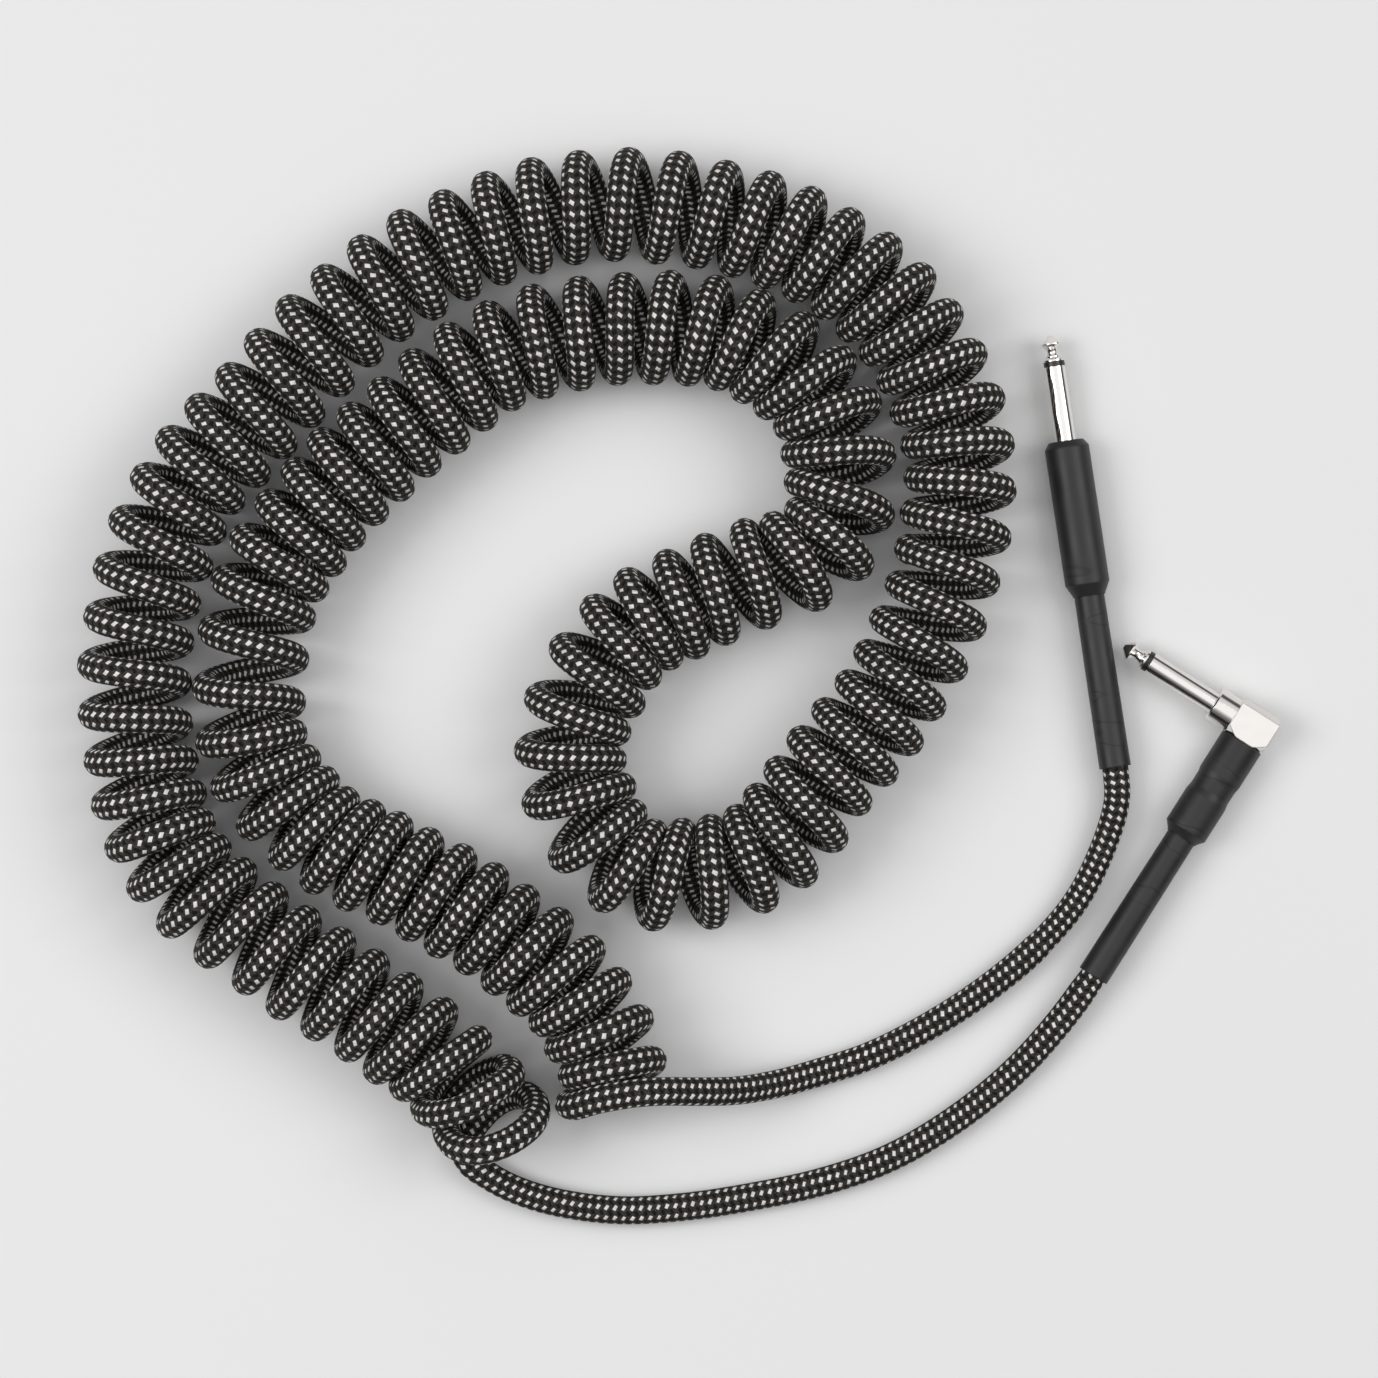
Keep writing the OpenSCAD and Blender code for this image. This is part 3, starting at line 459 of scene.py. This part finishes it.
def shrink(name, heading):
    """Heat-shrink tube that lies along heading: satin, with a fine grain and faint creases across
    it, which are also painted darker as shade.
    across it."""
    f = Finish(name, Specular_IOR_Level=0.45)
    grain = f.noise(2600, 3, roughness=0.6)
    cloud = f.noise(130, 2)
    fold = f.noise(110, 1, stretch=(1, 5, 5), turn=(0, 0, heading))
    # Creases are the few lines where the fold's noise crosses one level. The bump carves them in,
    # and their darker colour is painted shade.
    crease_and_painted_shade = f.ramp(f.math("ABSOLUTE", f.math("SUBTRACT", fold, 0.6)), 0.02, 0.0)
    smear = f.ramp(fold, 0.35, 0.7)
    # Painted shade: the creases get a darker colour than the tube round them.
    f.colour(f.mix(crease_and_painted_shade, f.mix(f.math("MULTIPLY", f.math("ADD", cloud, smear), 0.5),
                                 grey(0.012, 0.01), grey(0.023, 0.01)), grey(0.010, 0.01)))
    f.rough(f.math("MULTIPLY_ADD", cloud, 0.16, f.math("MULTIPLY_ADD", smear, 0.06, 0.36)))
    height = f.math("ADD", f.math("MULTIPLY", grain, 0.35), cloud)
    height = f.math("SUBTRACT", height, f.math("MULTIPLY", crease_and_painted_shade, 0.6))
    f.bump(height, 0.00012, 0.5, SHRINK_EDGE)
    return f.material


def plain(name, low, high, roughness, metallic=0.0, scale=700, bump=0.00005):
    """A finish with grain in its colour, its gloss and its surface."""
    f = Finish(name, Metallic=metallic)
    grain = f.noise(scale, 3)
    f.colour(f.mix(grain, (*low, 1.0), (*high, 1.0)))
    f.rough(f.math("MULTIPLY_ADD", grain, 0.15, roughness - 0.07))
    f.bump(f.noise(scale * 3, 2), bump, 0.4)
    return f.material


BRAID = braid()
SHRINK = {"straight": shrink("heat_shrink", STRAIGHT_HEADING),
          "angle": shrink("angle_heat_shrink", ANGLE_HEADING)}
TURNED, CAST = nickel("bright_nickel", 0.00012, 0), nickel("cast_nickel", 0.0005, 60)
BLACK = plain("moulded_black", (0.010, 0.010, 0.010), (0.022, 0.021, 0.020), 0.32)
LUG = plain("tinned_brass", (0.60, 0.56, 0.44), (0.72, 0.69, 0.58), 0.34, 1.0)
FIBRE = plain("pressed_fibre", (0.20, 0.085, 0.04), (0.34, 0.16, 0.08), 0.75, scale=1600)
LINER = plain("liner_film", (0.66, 0.65, 0.61), (0.76, 0.75, 0.71), 0.5)
CORE = plain("core_insulation", (0.76, 0.75, 0.70), (0.86, 0.85, 0.81), 0.45)
COPPER = plain("copper_strands", (0.62, 0.26, 0.13), (0.80, 0.42, 0.25), 0.3, 1.0, scale=2200)
BY_END = {
    "tip_contact": TURNED, "ground_sleeve": TURNED, "elbow_body": CAST, "barrel": TURNED,
    "tip_insulator": BLACK, "rod_insulator": BLACK, "ground_lug": LUG, "tip_lug": LUG,
    "rear_washer": FIBRE, "liner": LINER, "barrel_cover": SHRINK, "strain_sleeve": SHRINK,
    "core": CORE, "conductor": COPPER, "shield_tail": COPPER}
for name, obj in nodes.items():
    plug, end = name.split("_", 1)
    if end in BY_END:
        finish = BY_END[end]
        obj.data.materials.clear()
        obj.data.materials.append(SHRINK[plug] if finish is SHRINK else finish)

# ---------------------------------------------------------------- the braided cord
line, joins = cord_line()
radii = np.full(len(line), CORD_R)
radii[:joins[0]] = LEAD_R
radii[joins[1]:] = LEAD_R
radii = np.convolve(np.pad(radii, SOFTEN // 2, "edge"), np.ones(SOFTEN) / SOFTEN, "valid")
# The strain sleeves squeeze it: it tapers into each mouth, and stays thin inside.
TAPER_FROM, TAPER_LEN = 0.0005, 0.005
INSIDE_REACH = 0.09       # no point of the cord inside a plug is farther from its mouth
INSIDE_FROM = -0.0002     # along the plug from its mouth
from_mouth = np.minimum(
    np.linalg.norm(line - STRAIGHT_MOUTH, axis=1), np.linalg.norm(line - ANGLE_MOUTH, axis=1))
radii = PLUG_R + (radii - PLUG_R) * np.clip((from_mouth - TAPER_FROM) / TAPER_LEN, 0, 1)
for mouth, heading in ((STRAIGHT_MOUTH, STRAIGHT_HEADING), (ANGLE_MOUTH, ANGLE_HEADING)):
    along = (line - mouth) @ flat_way(heading)
    close = np.linalg.norm(line - mouth, axis=1) < INSIDE_REACH
    radii[close & (along > INSIDE_FROM)] = PLUG_R
cord = tube("braided_cord", line, radii)
cord.data.materials.append(BRAID)
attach(cord, "root")
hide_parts("coiled_cord", "straight_lead", "angle_lead")

# ---------------------------------------------------------------- floor, light and world
FLOOR_HALF, FLOOR_Z = 6, -0.0002   # a little low, so that nothing lies in it
floor_mesh = bpy.data.meshes.new("floor")
floor_mesh.from_pydata(
    [(x * FLOOR_HALF, y * FLOOR_HALF, FLOOR_Z) for x, y in ((-1, -1), (1, -1), (1, 1), (-1, 1))],
    [], [(0, 1, 2, 3)])
floor = bpy.data.objects.new("floor", floor_mesh)
bpy.context.scene.collection.objects.link(floor)
floor_finish = Finish("pale_floor", Roughness=0.9, Specular_IOR_Level=0.2)
# The floor looks pale, and throws less light up at the cord than it would.
ray = floor_finish.node("ShaderNodeLightPath").outputs
seen = floor_finish.math("MAXIMUM", ray["Is Camera Ray"], ray["Is Glossy Ray"])
floor_finish.colour(floor_finish.mix(seen, grey(0.4), grey(0.82)))
floor.data.materials.append(floor_finish.material)


CENTRE = (-0.14, -0.01, 0.0)
LAMP_SIZE = (1.0, 1.2)


def lamp(name, place, power):
    """A soft lamp that shines on the middle of the part; power is in watts."""
    data = bpy.data.lights.new(name, "AREA")
    data.shape = "RECTANGLE"
    data.size, data.size_y = LAMP_SIZE
    data.energy = power
    obj = bpy.data.objects.new(name, data)
    obj.location = place
    obj.rotation_euler = (Vector(CENTRE) - Vector(place)).to_track_quat("-Z", "Y").to_euler()
    bpy.context.scene.collection.objects.link(obj)


lamp("key", (-1.6, 0.1, 1.6), 17)
lamp("fill", (1.3, 0.3, 1.6), 11)

world = bpy.data.worlds.new("world")
bpy.context.scene.world = world
world.use_nodes = True
tree = world.node_tree
background = tree.nodes["Background"]
# A softbox overhead, a dim band low round it, which gives bright metal its dark edges, and
# less light from the near side. The sky goes by height, from 0 at the horizon to 1 overhead.
SKY = ((0.06, 0.45), (0.18, 0.07), (0.46, 0.09), (0.58, 0.64), (0.85, 0.74), (0.96, 1.0))
direction = tree.nodes.new("ShaderNodeTexCoord")
apart = tree.nodes.new("ShaderNodeSeparateXYZ")
tree.links.new(direction.outputs["Generated"], apart.inputs[0])
ramp = tree.nodes.new("ShaderNodeValToRGB")
tree.links.new(apart.outputs["Z"], ramp.inputs["Fac"])
stops = ramp.color_ramp.elements
stops[0].position, stops[0].color = 0.0, grey(0.5)
stops[1].position, stops[1].color = 1.0, grey(1.0)
for at, value in SKY:
    stop = stops.new(at)
    stop.color = grey(value)
tree.links.new(ramp.outputs["Color"], background.inputs["Color"])
near = tree.nodes.new("ShaderNodeMapRange")
tree.links.new(apart.outputs["Y"], near.inputs["Value"])
near.inputs["From Min"].default_value = -0.65
near.inputs["From Max"].default_value = -0.30
near.inputs["To Min"].default_value = 0.25
near.inputs["To Max"].default_value = 1.1
tree.links.new(near.outputs["Result"], background.inputs["Strength"])

bpy.context.scene.view_settings.view_transform = "Standard"
